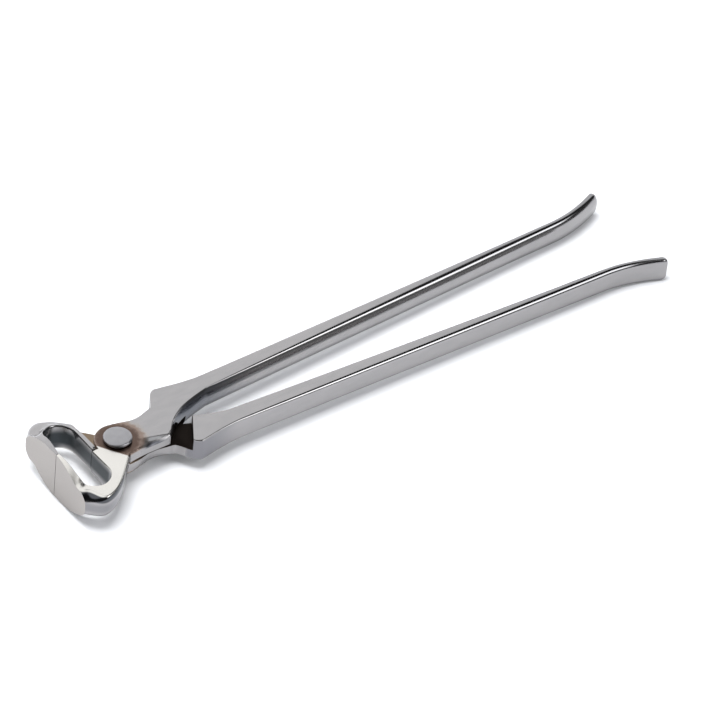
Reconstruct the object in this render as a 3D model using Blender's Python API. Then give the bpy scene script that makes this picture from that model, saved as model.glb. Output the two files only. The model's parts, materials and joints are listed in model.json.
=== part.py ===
"""Hoof nipper: two equal forged levers that cross on one hot-set rivet.

The pivot's axis is +Z, and the origin is the middle of the rivet's upper face. The jaws point to -X
and the handles, called reins, run to +X. Each lever is jaw, half-lapped boss, neck, shoulder and rein
in one forging, drawn about the plane where the two bosses meet. The upper lever has its rein on the
+Y side and its jaw on the -Y side, and the lower lever is the same forging turned half a turn about X.
At rest the jaws are closed.
"""

import math

import bmesh
import bpy
from mathutils import Vector

MM = 0.001

# Reach of the jaws and reins from the pivot, 356 mm or 14 inches in all
REIN_REACH = 320 * MM
FACE_REACH = 36 * MM

# Clearances
JAW_GAP = 0.3 * MM
LAP_GAP = 0.3 * MM
LAP_WALL_CLEARANCE = 1.1 * MM
RIVET_CLEARANCE = 0.3 * MM

# Rivet
RIVET_SHANK_RADIUS = 4.8 * MM
RIVET_HEAD_RADIUS = 7.2 * MM
RIVET_HEAD_HEIGHT = 2.2 * MM
RIVET_HEAD_CHAMFER = 0.5 * MM

# Boss and neck
BOSS_RADIUS = 11.6 * MM
BODY_HALF_THICKNESS = 6.6 * MM
BODY_EDGE_RADIUS = 1.0 * MM
WAIST_REACH = 14.5 * MM
WAIST_OUTER_OFFSET = 9.5 * MM
WAIST_DRAFT = 1.7 * MM
WAIST_DROP = 5.8 * MM
WAIST_FADE = 8.0 * MM
NECK_LENGTH = 25.5 * MM
NECK_OUTER_OFFSET = 11.0 * MM
NECK_INNER_REACH = 24.3 * MM
NECK_INNER_OFFSET = 10.5 * MM
NECK_ROOT_RISE = 1.6 * MM
SCOOP_START = 5.0 * MM
SCOOP_RISE = 9.0 * MM
SCOOP_END = 26.5 * MM
SCOOP_FALL = 12.0 * MM
SCOOP_DEPTH = 2.2 * MM
SCOOP_WIDTH = 7.2 * MM

# Shoulder, where the half lap ends and the full rein begins
SHOULDER_REACH = 34.5 * MM
SHOULDER_CREST = 36.5 * MM
SHOULDER_OFFSET = 21.8 * MM
SHOULDER_WALL_REACH = 29.8 * MM
SHOULDER_WALL_SLOPE = 0.65
INNER_SWEEP_LENGTH = 24.5 * MM

# Rein
REIN_START_OFFSET = 13.2 * MM
REIN_END_OFFSET = 22.8 * MM
REIN_START_THICKNESS = 11.4 * MM
REIN_END_THICKNESS = 5.2 * MM
REIN_START_HEIGHT = 12.6 * MM
REIN_END_HEIGHT = 13.7 * MM
REIN_EDGE_RADIUS = 2.0 * MM
FLARE_LENGTH = 34 * MM
FLARE_OFFSET = 7.4 * MM
TIP_ROUND = 3.0 * MM

# Jaw loop
HOLE_BACK = 15.0 * MM
HOLE_FRONT = 32.6 * MM
HOLE_HALF_WIDTH = 22.8 * MM
JAW_HALF_WIDTH = 32.3 * MM
JAW_FLANK_REACH = 27.0 * MM
JAW_RIM_HALF_HEIGHT = 7.6 * MM
JAW_FLANK_HEIGHT = 7.0 * MM
JAW_FLANK_DEPTH = 6.5 * MM
JAW_EDGE_RADIUS = 1.2 * MM
JAW_FLANK_RADIUS = 6.0 * MM
JAW_FLANK_DROP = 4.2 * MM
JAW_SHOULDER_WIDTH = 3.6 * MM
JAW_SHOULDER_DROP = 6.5 * MM
FACE_HALF_HEIGHT = 13.7 * MM
FACE_HALF_WIDTH = 26.0 * MM
FACE_END_HEIGHT = 5.8 * MM
FACE_END_DEPTH = 7.4 * MM
FACE_TOP_BOW = 2
FACE_BOTTOM_BOW = 3.5
FACE_EDGE_RADIUS = 0.5 * MM
EDGE_LAND = 1.6 * MM

# Smoothness of the faceted surfaces
REIN_STEPS = 16
BOSS_STEPS = 10
JAW_STEPS = 24
CORNER_STEPS = 3
TURNED_SIDES = 48
ARC_SIDES = 40

# How far a cutter runs past the metal it cuts
CUT_PAST = 30 * MM

REIN_START = SHOULDER_REACH + INNER_SWEEP_LENGTH
HALF_GAP = JAW_GAP / 2
RIVET_SEAT = BODY_HALF_THICKNESS + RIVET_CLEARANCE
RIVET_TOP = RIVET_SEAT + RIVET_HEAD_HEIGHT


def smooth_step(value):
    """Ease from 0 to 1."""
    value = min(max(value, 0.0), 1.0)
    return value * value * (3 - 2 * value)


def mix(start, end, share):
    return start + (end - start) * share


def along(points, count):
    """Points spaced evenly along a polyline."""
    lengths = [0.0]
    for first, second in zip(points, points[1:]):
        lengths.append(lengths[-1] + (second - first).length)
    spaced = []
    for step in range(count + 1):
        target = lengths[-1] * step / count
        place = 0
        while place < len(points) - 2 and lengths[place + 1] < target:
            place += 1
        span = lengths[place + 1] - lengths[place]
        share = (target - lengths[place]) / span
        spaced.append(points[place].lerp(points[place + 1], share))
    return spaced


def cubic(start, pull_start, pull_end, end, count):
    """Points along a cubic curve."""
    points = []
    for step in range(count + 1):
        t = step / count
        s = 1 - t
        points.append(s * s * s * start + 3 * s * s * t * pull_start
                      + 3 * s * t * t * pull_end + t * t * t * end)
    return points


def arc(centre, radius, start, end, count):
    """Points along an arc in plan, with angles in degrees."""
    points = []
    for step in range(count + 1):
        angle = math.radians(mix(start, end, step / count))
        points.append(centre + radius * Vector((math.cos(angle), math.sin(angle))))
    return points


def jaw_height(point, rim, face_end, bow):
    """The jaw swells from the boss to its rim, and on to the front face, tallest at the seam.

    Bow is the power by which the face's edge falls from the seam to its end.
    """
    reach = -point.x
    if reach < HOLE_BACK:
        return mix(BODY_HALF_THICKNESS, rim, smooth_step(reach / HOLE_BACK))
    across = min(abs(point.y) / FACE_HALF_WIDTH, 1.0)
    face = mix(FACE_HALF_HEIGHT, face_end, across ** bow)
    return mix(rim, face, smooth_step((reach - HOLE_BACK) / (FACE_REACH - HOLE_BACK)))


def corner(height, width, drop):
    """One edge of a cross-section: its distance from the lap plane, and the width and drop of its rounding."""
    return {"height": height, "width": width, "drop": drop}


def station(first, second, corners):
    """One cross-section: two plan points and four corners.

    The corners are the first edge's upper one, the second edge's upper and lower ones, and the
    first edge's lower one.
    """
    return {"first": first, "second": second, "corners": corners}


def even_station(first, second, half_height, radius):
    """A cross-section with four corners alike."""
    return station(first, second, [corner(half_height, radius, radius)] * 4)


def rein_stations():
    """From the tip of the rein to its start behind the shoulder."""
    stations = []
    places = [REIN_REACH - TIP_ROUND * (1 - math.cos(math.radians(angle))) for angle in (0, 50, 90)]
    places += [mix(REIN_REACH - TIP_ROUND, REIN_START, step / REIN_STEPS)
               for step in range(1, REIN_STEPS + 1)]
    for place in places:
        share = (place - REIN_START) / (REIN_REACH - REIN_START)
        flare = max(place - (REIN_REACH - FLARE_LENGTH), 0.0) / FLARE_LENGTH
        offset = mix(REIN_START_OFFSET, REIN_END_OFFSET, share) + FLARE_OFFSET * flare * flare
        slope = (REIN_END_OFFSET - REIN_START_OFFSET) / (REIN_REACH - REIN_START)
        slope += 2 * FLARE_OFFSET * flare / FLARE_LENGTH
        across = Vector((-slope, 1.0)).normalized()
        centre = Vector((place, offset))
        past = min(max(place - (REIN_REACH - TIP_ROUND), 0.0) / TIP_ROUND, 1.0)
        shrink = TIP_ROUND * (1 - math.sqrt(1 - past * past)) * 0.8
        half_thickness = mix(REIN_START_THICKNESS, REIN_END_THICKNESS, share) / 2
        half_height = mix(REIN_START_HEIGHT, REIN_END_HEIGHT, share * share) / 2
        half_thickness -= shrink * half_thickness / half_height
        half_height -= shrink
        stations.append(even_station(centre + across * half_thickness, centre - across * half_thickness,
                                     half_height, REIN_EDGE_RADIUS))
    return stations


def neck_edges():
    """Outer and inner edge of the shoulder, neck and boss in plan, from the rein to the jaw."""
    half_start = REIN_START_THICKNESS / 2
    rein_outer = Vector((REIN_START, REIN_START_OFFSET + half_start))
    rein_inner = Vector((REIN_START, REIN_START_OFFSET - half_start))
    shoulder = Vector((SHOULDER_CREST, SHOULDER_OFFSET))
    neck_end = Vector((NECK_LENGTH, NECK_OUTER_OFFSET))
    waist = Vector((WAIST_REACH, WAIST_OUTER_OFFSET))
    boss_start = Vector((0, BOSS_RADIUS))
    along_x = Vector((SHOULDER_REACH / 4, 0))
    outer = cubic(rein_outer, rein_outer.lerp(shoulder, 0.5), shoulder + along_x, shoulder, BOSS_STEPS)
    outer += cubic(shoulder, shoulder - along_x * 0.4, neck_end + along_x * 0.45, neck_end, BOSS_STEPS)[1:]
    outer += cubic(neck_end, neck_end.lerp(waist, 0.5), waist + along_x / 4, waist, BOSS_STEPS)[1:]
    outer += cubic(waist, waist - along_x / 2, boss_start + along_x, boss_start, BOSS_STEPS)[1:]
    front_angle = 180 + math.degrees(math.asin(JAW_GAP / BOSS_RADIUS))
    outer += arc(Vector((0, 0)), BOSS_RADIUS, 90, front_angle, ARC_SIDES)[1:]
    bottom = Vector((NECK_INNER_REACH, -NECK_INNER_OFFSET))
    root = jaw_outer_edge()[0]
    sweep_start = rein_inner - Vector((INNER_SWEEP_LENGTH * 0.7, INNER_SWEEP_LENGTH * 0.17))
    sweep_end = bottom + Vector((INNER_SWEEP_LENGTH * 0.33, INNER_SWEEP_LENGTH * 0.43))
    inner = cubic(rein_inner, sweep_start, sweep_end, bottom, 2 * BOSS_STEPS)
    inner += cubic(bottom, bottom.lerp(Vector((root.x, bottom.y)), 0.3),
                   root + Vector((NECK_INNER_REACH * 0.35, NECK_ROOT_RISE)), root, BOSS_STEPS)[1:]
    return outer, inner


def neck_stations():
    """Shoulder, neck and boss. The first edge is the outer one, and it turns round the boss."""
    outer, inner = neck_edges()
    count = 4 * BOSS_STEPS
    stations = []
    for first, second in list(zip(along(outer, count), along(inner, count)))[1:]:
        reach = min(max((second.x - SHOULDER_REACH) / INNER_SWEEP_LENGTH, 0.0), 1.0)
        half_height = mix(BODY_HALF_THICKNESS, REIN_START_HEIGHT / 2, reach)
        radius = mix(BODY_EDGE_RADIUS, REIN_EDGE_RADIUS, reach)
        scoop = smooth_step((second.x - SCOOP_START) / SCOOP_RISE)
        scoop *= smooth_step((SCOOP_END - second.x) / SCOOP_FALL)
        waist = smooth_step(first.x / WAIST_FADE) * smooth_step((NECK_LENGTH - first.x) / WAIST_FADE)
        plain = corner(half_height, radius, radius)
        drafted = corner(half_height, mix(radius, WAIST_DRAFT, waist), mix(radius, WAIST_DROP, waist))
        scooped = corner(half_height, mix(radius, SCOOP_WIDTH, scoop), mix(radius, SCOOP_DEPTH, scoop))
        stations.append(station(first, second, [drafted, scooped, plain, plain]))
    return stations


def jaw_outer_edge():
    """Outer edge of the jaw in plan, from the boss to the closed cutting edge."""
    root = Vector((0, -BOSS_RADIUS))
    flank = Vector((-JAW_FLANK_REACH, -JAW_HALF_WIDTH))
    end = Vector((-FACE_REACH, -FACE_HALF_WIDTH))
    points = cubic(root, Vector((flank.x / 5, root.y * 4 / 3)), Vector((flank.x * 0.56, flank.y * 0.96)),
                   flank, ARC_SIDES)
    points += cubic(flank, mix(flank, Vector((end.x, flank.y)), 0.5), mix(end, flank, 0.25), end,
                    BOSS_STEPS)[1:]
    points.append(Vector((-FACE_REACH, -HALF_GAP)))
    return points


def jaw_hole_edge():
    """Edge of the hole in plan: back wall, round end, then the back of the blade."""
    end_radius = (HOLE_FRONT - HOLE_BACK) / 2
    centre = Vector((-(HOLE_FRONT + HOLE_BACK) / 2, end_radius - HOLE_HALF_WIDTH))
    points = [Vector((-HOLE_BACK, -HALF_GAP))]
    points += arc(centre, end_radius, 360, 180, ARC_SIDES)
    points.append(Vector((EDGE_LAND - FACE_REACH, -HALF_GAP)))
    return points


def jaw_stations():
    """From the parting face at the back of the hole, round the loop, to the cutting edge."""
    stations = []
    outer = along(jaw_outer_edge(), JAW_STEPS + 1)[1:]
    for first, second in zip(along(jaw_hole_edge(), JAW_STEPS), outer):
        end_share = smooth_step((-second.y - BOSS_RADIUS) / (FACE_HALF_WIDTH - BOSS_RADIUS))
        face_share = smooth_step((-second.x - JAW_FLANK_REACH) / (FACE_REACH - JAW_FLANK_REACH))
        radius = mix(JAW_EDGE_RADIUS, FACE_EDGE_RADIUS, face_share)
        soft_width = mix(radius, JAW_FLANK_RADIUS, end_share)
        soft_drop = mix(radius, JAW_FLANK_DROP, end_share)
        width = mix(radius, mix(JAW_EDGE_RADIUS, JAW_SHOULDER_WIDTH, face_share), end_share)
        drop = mix(radius, JAW_SHOULDER_DROP, end_share)
        flank_top = jaw_height(second, JAW_FLANK_HEIGHT, FACE_END_HEIGHT, FACE_TOP_BOW)
        flank_bottom = jaw_height(second, JAW_FLANK_DEPTH, FACE_END_DEPTH, FACE_BOTTOM_BOW)
        rim_top = jaw_height(first, JAW_RIM_HALF_HEIGHT, FACE_END_HEIGHT, FACE_TOP_BOW)
        rim_top = min(rim_top, flank_top)
        rim_bottom = jaw_height(first, JAW_RIM_HALF_HEIGHT, FACE_END_DEPTH, FACE_BOTTOM_BOW)
        stations.append(station(first, second, [corner(rim_top, radius, radius),
                                                corner(flank_top, width, drop),
                                                corner(flank_bottom, soft_width, soft_drop),
                                                corner(rim_bottom, radius, radius)]))
    return stations


def section_points(data):
    """Corners of one cross-section, a rectangle with rounded edges, as points in space."""
    first = data["first"]
    width = (data["second"] - first).length
    direction = (data["second"] - first) / width
    points = []
    for turn, edge in enumerate(data["corners"]):
        round_width = min(edge["width"], width * 0.45)
        drop = min(edge["drop"], edge["height"] * 0.9)
        side = 1 if turn < 2 else -1
        outward = -1 if turn in (0, 3) else 1
        rim = 0.0 if turn in (0, 3) else width
        for step in range(CORNER_STEPS + 1):
            angle = math.radians(90 * step / CORNER_STEPS)
            if turn in (0, 2):
                angle = math.radians(90) - angle
            inset = round_width * (1 - math.sin(angle))
            fall = drop * (1 - math.cos(angle))
            place = first + direction * (rim - outward * inset)
            points.append(Vector((place.x, place.y, side * (edge["height"] - fall))))
    return points


def loft(name, stations):
    """Skin the cross-sections into one closed body."""
    shape = bmesh.new()
    rings = []
    for data in stations:
        rings.append([shape.verts.new(point) for point in section_points(data)])
    for near, far in zip(rings, rings[1:]):
        for side in range(len(near)):
            nearby = (side + 1) % len(near)
            shape.faces.new((near[side], near[nearby], far[nearby], far[side]))
    shape.faces.new(rings[0])
    shape.faces.new(rings[-1][::-1])
    bmesh.ops.recalc_face_normals(shape, faces=shape.faces)
    mesh = bpy.data.meshes.new(name)
    shape.to_mesh(mesh)
    shape.free()
    return mesh


def prism(name, outline, low, high):
    """A plan outline raised between two levels."""
    shape = bmesh.new()
    base = shape.faces.new([shape.verts.new((point.x, point.y, low)) for point in outline])
    raised = bmesh.ops.extrude_face_region(shape, geom=[base])
    lifted = [item for item in raised["geom"] if isinstance(item, bmesh.types.BMVert)]
    bmesh.ops.translate(shape, verts=lifted, vec=(0, 0, high - low))
    bmesh.ops.recalc_face_normals(shape, faces=shape.faces)
    mesh = bpy.data.meshes.new(name)
    shape.to_mesh(mesh)
    shape.free()
    return mesh


def turned(name, profile):
    """A profile of (radius, height) points turned about the pivot axis."""
    shape = bmesh.new()
    rings = []
    for radius, height in profile:
        ring = []
        for side in range(TURNED_SIDES):
            angle = 2 * math.pi * side / TURNED_SIDES
            ring.append(shape.verts.new((radius * math.cos(angle), radius * math.sin(angle), height)))
        rings.append(ring)
    for lower, upper in zip(rings, rings[1:]):
        for side in range(TURNED_SIDES):
            nearby = (side + 1) % TURNED_SIDES
            shape.faces.new((lower[side], lower[nearby], upper[nearby], upper[side]))
    shape.faces.new(rings[0][::-1])
    shape.faces.new(rings[-1])
    bmesh.ops.recalc_face_normals(shape, faces=shape.faces)
    mesh = bpy.data.meshes.new(name)
    shape.to_mesh(mesh)
    shape.free()
    return mesh


def lap_outline():
    """Plan of the metal taken off one side of the boss so that the other lever can turn there.

    In front it ends behind the rim of the hole, and behind at the slanting shoulder wall.
    """
    front = -(BOSS_RADIUS + LAP_WALL_CLEARANCE)
    side = JAW_HALF_WIDTH + CUT_PAST
    near_wall = SHOULDER_WALL_REACH - SHOULDER_WALL_SLOPE * (side - SHOULDER_OFFSET)
    far_wall = SHOULDER_WALL_REACH + SHOULDER_WALL_SLOPE * (side + SHOULDER_OFFSET)
    return [Vector((front, side)), Vector((front, -side)),
            Vector((far_wall, -side)), Vector((near_wall, side))]


def cut(target, mesh):
    """Take a cutter's shape out of an object."""
    cutter = bpy.data.objects.new(mesh.name, mesh)
    bpy.context.collection.objects.link(cutter)
    modifier = target.modifiers.new(mesh.name, "BOOLEAN")
    modifier.operation = "DIFFERENCE"
    modifier.object = cutter
    return cutter


def lever_mesh():
    """The forging, with its half lap and its rivet hole cut."""
    stations = rein_stations() + neck_stations() + jaw_stations()
    blank = bpy.data.objects.new("forging", loft("forging", stations))
    bpy.context.collection.objects.link(blank)
    depth = FACE_HALF_HEIGHT + CUT_PAST
    hole_radius = RIVET_SHANK_RADIUS + RIVET_CLEARANCE
    cutters = [cut(blank, prism("lap", lap_outline(), -depth, LAP_GAP / 2)),
               cut(blank, turned("rivet_hole", ((hole_radius, -depth), (hole_radius, depth))))]
    evaluated = blank.evaluated_get(bpy.context.evaluated_depsgraph_get())
    mesh = bpy.data.meshes.new_from_object(evaluated)
    for item in [blank] + cutters:
        bpy.data.objects.remove(item)
    return mesh


def steel(name, colour, roughness):
    material = bpy.data.materials.new(name)
    material.use_nodes = True
    shader = material.node_tree.nodes["Principled BSDF"]
    shader.inputs["Base Color"].default_value = (*colour, 1)
    shader.inputs["Roughness"].default_value = roughness
    shader.inputs["Metallic"].default_value = 1
    return material


def place(name, mesh, material, parent, turn=0.0):
    """Add one finished piece to the scene, on the pivot's axis."""
    mesh.materials.clear()
    mesh.materials.append(material)
    mesh.shade_smooth()
    mesh.set_sharp_from_angle(angle=math.radians(30))
    piece = bpy.data.objects.new(name, mesh)
    piece.rotation_euler = (turn, 0, 0)
    piece.parent = parent
    bpy.context.collection.objects.link(piece)
    return piece


def rivet_profile():
    """From the lower head, up the shank, to the upper head."""
    rim = RIVET_HEAD_RADIUS - RIVET_HEAD_CHAMFER
    upper = ((RIVET_SHANK_RADIUS, RIVET_SEAT), (RIVET_HEAD_RADIUS, RIVET_SEAT),
             (RIVET_HEAD_RADIUS, RIVET_TOP - RIVET_HEAD_CHAMFER), (rim, RIVET_TOP))
    lower = [(radius, -height) for radius, height in reversed(upper)]
    return lower + list(upper)


def build():
    for item in list(bpy.data.objects):
        bpy.data.objects.remove(item)
    upper_mesh = lever_mesh()
    lower_mesh = upper_mesh.copy()
    rivet_mesh = turned("pivot_rivet", rivet_profile())
    lap_centre = bpy.data.objects.new("lap_centre", None)
    lap_centre.location = (0, 0, -RIVET_TOP)
    bpy.context.collection.objects.link(lap_centre)
    place("upper_lever", upper_mesh, steel("upper_steel", (0.62, 0.61, 0.60), 0.24), lap_centre)
    place("lower_lever", lower_mesh, steel("lower_steel", (0.62, 0.61, 0.60), 0.24), lap_centre, math.pi)
    place("pivot_rivet", rivet_mesh, steel("rivet_steel", (0.55, 0.54, 0.53), 0.35), lap_centre)


build()
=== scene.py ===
# %% [markdown]
# # A forged hoof nipper, dressed for its portrait
#
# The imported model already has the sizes, the hinge and the solids. This lesson gives it its looks: two
# smooth polished forgings in place of the faceted levers, a hot-set rivet, the brown heat tint that
# setting the rivet left round it, and the white table that the tool lies on.
#
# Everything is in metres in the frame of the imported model. The origin is the middle of the rivet's upper
# face, +X runs to the ends of the handles and +Z is up along the rivet.

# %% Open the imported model
import json
import math

import bpy
from mathutils import Matrix, Vector


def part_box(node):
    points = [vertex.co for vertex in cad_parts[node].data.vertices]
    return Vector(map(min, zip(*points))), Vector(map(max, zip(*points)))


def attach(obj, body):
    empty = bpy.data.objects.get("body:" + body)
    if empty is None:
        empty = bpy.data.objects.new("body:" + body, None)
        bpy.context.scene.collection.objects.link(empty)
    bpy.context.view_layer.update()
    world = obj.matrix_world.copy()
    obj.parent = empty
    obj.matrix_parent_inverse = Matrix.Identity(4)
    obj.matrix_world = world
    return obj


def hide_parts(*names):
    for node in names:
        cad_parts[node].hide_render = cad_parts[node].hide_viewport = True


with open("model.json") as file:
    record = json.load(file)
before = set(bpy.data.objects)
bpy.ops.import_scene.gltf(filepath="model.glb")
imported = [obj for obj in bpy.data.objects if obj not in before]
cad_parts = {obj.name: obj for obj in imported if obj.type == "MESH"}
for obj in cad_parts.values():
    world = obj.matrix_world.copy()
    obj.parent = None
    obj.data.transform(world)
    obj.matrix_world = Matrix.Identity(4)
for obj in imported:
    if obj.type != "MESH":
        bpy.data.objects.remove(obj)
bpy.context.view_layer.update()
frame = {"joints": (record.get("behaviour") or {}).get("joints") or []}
MM = 0.001

# %% [markdown]
# ## Sizes that the frame gives
#
# The levers are equal, and each is drawn about the plane in which their bosses meet, the lap plane. The
# hinge's own place gives that plane's level. The boxes of the nodes give the reach, width and height of the
# jaws and the size of the rivet, so the new head is as large as the solid one. A farrier calls the handles
# reins. Their reach is written down here, because the flared tips turn a little past it.

# %% Read the sizes
lap_level = frame["joints"][0]["pos_m"][2]
lever_low, lever_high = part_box("upper_lever")
rivet_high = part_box("pivot_rivet")[1]
face_reach = -lever_low.x
rein_reach = 320 * MM
jaw_half_width = -lever_low.y
face_half_height = lever_high.z - lap_level
rivet_top = rivet_high.z - lap_level
rivet_radius = rivet_high.x
print("lap plane at", round(lap_level / MM, 2), "mm, jaws reach", round(face_reach / MM, 2),
      "mm, reins reach", round(rein_reach / MM, 2), "mm")

# %% [markdown]
# ## The camera
#
# The photograph is taken with a long lens, from the left and well above, and rolled a few degrees. The
# camera circles a point between the reins: azimuth, elevation and roll turn it, and the distance and the
# focal length set the size. The focal length is given in pixels of the square picture and turned into
# millimetres of lens.

# %% Set the camera
PICTURE_WIDTH = 707
FOCAL_PIXELS = 5009
SENSOR_WIDTH = 36
CAMERA_AZIMUTH = math.radians(-40.14)
CAMERA_ELEVATION = math.radians(40.91)
CAMERA_ROLL = math.radians(6.14)
CAMERA_DISTANCE = 2500 * MM
camera_target = Vector((141.3 * MM, -1.9 * MM, lap_level))

camera_back = Vector((math.sin(CAMERA_AZIMUTH) * math.cos(CAMERA_ELEVATION),
                      -math.cos(CAMERA_AZIMUTH) * math.cos(CAMERA_ELEVATION),
                      math.sin(CAMERA_ELEVATION)))
level_right = Vector((math.cos(CAMERA_AZIMUTH), math.sin(CAMERA_AZIMUTH), 0))
level_up = camera_back.cross(level_right)
camera_right = math.cos(CAMERA_ROLL) * level_right + math.sin(CAMERA_ROLL) * level_up
camera_up = camera_back.cross(camera_right)

bpy.ops.object.camera_add()
camera = bpy.context.object
camera.name = "portrait_camera"
camera.data.sensor_width = SENSOR_WIDTH
camera.data.lens = SENSOR_WIDTH * FOCAL_PIXELS / PICTURE_WIDTH
turn = Matrix((camera_right, camera_up, camera_back)).transposed().to_4x4()
camera.matrix_world = Matrix.Translation(camera_target + CAMERA_DISTANCE * camera_back) @ turn
bpy.context.scene.camera = camera
print("lens", round(camera.data.lens, 1), "mm")

# %% [markdown]
# ## Curves in plan
#
# A forging like this is a bar that is drawn out, bent and spread, so it can be followed from the end of
# the rein to the cutting edge by its cross-sections. Seen from above, every section runs between two
# edges. The next helpers draw those edges: a mix of two values, a smooth step, a cubic curve, an arc, and a
# walk along a line in even strides.

# %% Helpers for lines in plan
def mix(start, end, share):
    return start + (end - start) * share


def smooth_step(value):
    value = min(max(value, 0.0), 1.0)
    return value * value * (3 - 2 * value)


def cubic(start, pull_start, pull_end, end, count):
    points = []
    for step in range(count + 1):
        t = step / count
        s = 1 - t
        points.append(s ** 3 * start + 3 * s * s * t * pull_start + 3 * s * t * t * pull_end + t ** 3 * end)
    return points


def arc(centre, radius, start, end, count):
    angles = [math.radians(mix(start, end, step / count)) for step in range(count + 1)]
    return [centre + radius * Vector((math.cos(angle), math.sin(angle))) for angle in angles]


def strides(points, count):
    lengths = [0.0]
    for first, second in zip(points, points[1:]):
        lengths.append(lengths[-1] + (second - first).length)
    spaced = []
    place = 0
    for step in range(count + 1):
        target = lengths[-1] * step / count
        while place < len(points) - 2 and lengths[place + 1] < target:
            place += 1
        share = (target - lengths[place]) / (lengths[place + 1] - lengths[place])
        spaced.append(points[place].lerp(points[place + 1], share))
    return spaced


print("plan helpers ready")

# %% [markdown]
# ## Cross-sections
#
# A section is a rectangle with four worked edges, and each edge has its own height above or depth below
# the lap plane, and its own shape. A bent edge is part of a round, stretched to a width and a drop. A
# drafted edge is a small round that runs on into a barrelled side, as a die leaves it. Two edges can be
# blended, so that one shape turns into another along the bar. The flats get a few points of their own, so
# that smooth shading doesn't pull the light of the edges across them.

# %% One section of the bar
CORNER_STEPS = 8
FLAT_STEPS = 4
DRAFT_TURN = math.radians(52)
WIDEST_SQUEEZE = 0.95
DEEPEST_PRESS = 0.92


def bent_edge(width, drop, start=0.0, end=90.0):
    """Inset and fall from the flat to the side along part of a round, stretched to a width and a drop."""
    low, high = math.radians(start), math.radians(end)
    points = []
    for step in range(CORNER_STEPS + 1):
        angle = mix(low, high, step / CORNER_STEPS)
        inset = (math.sin(high) - math.sin(angle)) / (math.sin(high) - math.sin(low))
        fall = (math.cos(low) - math.cos(angle)) / (math.cos(low) - math.cos(high))
        points.append(Vector((width * inset, drop * fall)))
    return points


def drafted_edge(radius, drop):
    """A round edge that runs on into a barrelled side."""
    turn = DRAFT_TURN
    barrel = (drop - radius * (1 - math.cos(turn))) / math.cos(turn)
    width = radius * math.sin(turn) + barrel * (1 - math.sin(turn))
    points = []
    for step in range(CORNER_STEPS + 1):
        share = 2 * step / CORNER_STEPS
        angle = turn * min(share, 1.0)
        point = Vector((width - radius * math.sin(angle), radius * (1 - math.cos(angle))))
        if share > 1:
            angle = mix(turn, math.pi / 2, share - 1)
            point += barrel * Vector((math.sin(turn) - math.sin(angle), math.cos(turn) - math.cos(angle)))
        points.append(point)
    return points


def blend(first, second, share):
    return [one.lerp(other, share) for one, other in zip(first, second)]


def section(first, second, heights, edges):
    """Points round one section.

    Heights and edges run first-top, second-top, second-bottom, first-bottom.
    """
    width = (second - first).length
    across = (second - first) / width
    ring = []
    for turn, (height, edge) in enumerate(zip(heights, edges)):
        partner = edges[(1, 0, 3, 2)[turn]]
        squeeze = min(1.0, WIDEST_SQUEEZE * width / (edge[0].x + partner[0].x))
        press = min(1.0, DEEPEST_PRESS * height / edge[-1].y)
        side = 1 if turn < 2 else -1
        rim, inward = (0.0, 1) if turn in (0, 3) else (width, -1)
        rounded = []
        for inset, fall in edge if turn in (1, 3) else reversed(edge):
            place = first + across * (rim + inward * inset * squeeze)
            rounded.append(Vector((place.x, place.y, side * (height - fall * press))))
        ring.append(rounded)
    points = []
    for rounded, following in zip(ring, ring[1:] + ring[:1]):
        points += rounded
        points += [rounded[-1].lerp(following[0], step / FLAT_STEPS) for step in range(1, FLAT_STEPS)]
    return points


print("a section has", 4 * (CORNER_STEPS + FLAT_STEPS), "points")

# %% [markdown]
# ## The rein
#
# Each rein is a flat bar, thick at the shoulder and thin at the tip, that runs out nearly straight and
# flares at the end for the hand. Its outer edges are plain rounds and its inner ones are drafted. Both are
# almost crisp at the shoulder, get rounder along the bar, where the polishing belt dwelt, and are crisper
# again in the flare. The sections start at the tip and run inwards.

# %% Sections of the rein
SHOULDER_REACH = 34.5 * MM
SWEEP_LENGTH = 24.5 * MM
REIN_START_OFFSET = 13.2 * MM
REIN_END_OFFSET = 22.8 * MM
REIN_START_THICKNESS = 11.4 * MM
REIN_END_THICKNESS = 5.2 * MM
REIN_START_HEIGHT = 12.6 * MM
REIN_END_HEIGHT = 13.7 * MM
REIN_START_ROUND = 1.0 * MM
REIN_END_ROUND = 3.0 * MM
FLARE_ROUND = 1.2 * MM
FLARE_LENGTH = 34 * MM
FLARE_OFFSET = 7.4 * MM
TIP_ROUND = 3.0 * MM
TIP_SHRINK = 0.8
ROUND_GROWTH = 0.6
INNER_ROUND_LEAD = 1.8
REIN_DRAFT_DROP = 5.6 * MM
REIN_CRISP = 0.25 * MM
TIP_STEPS = 10
REIN_STEPS = 72
rein_start = SHOULDER_REACH + SWEEP_LENGTH


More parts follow.
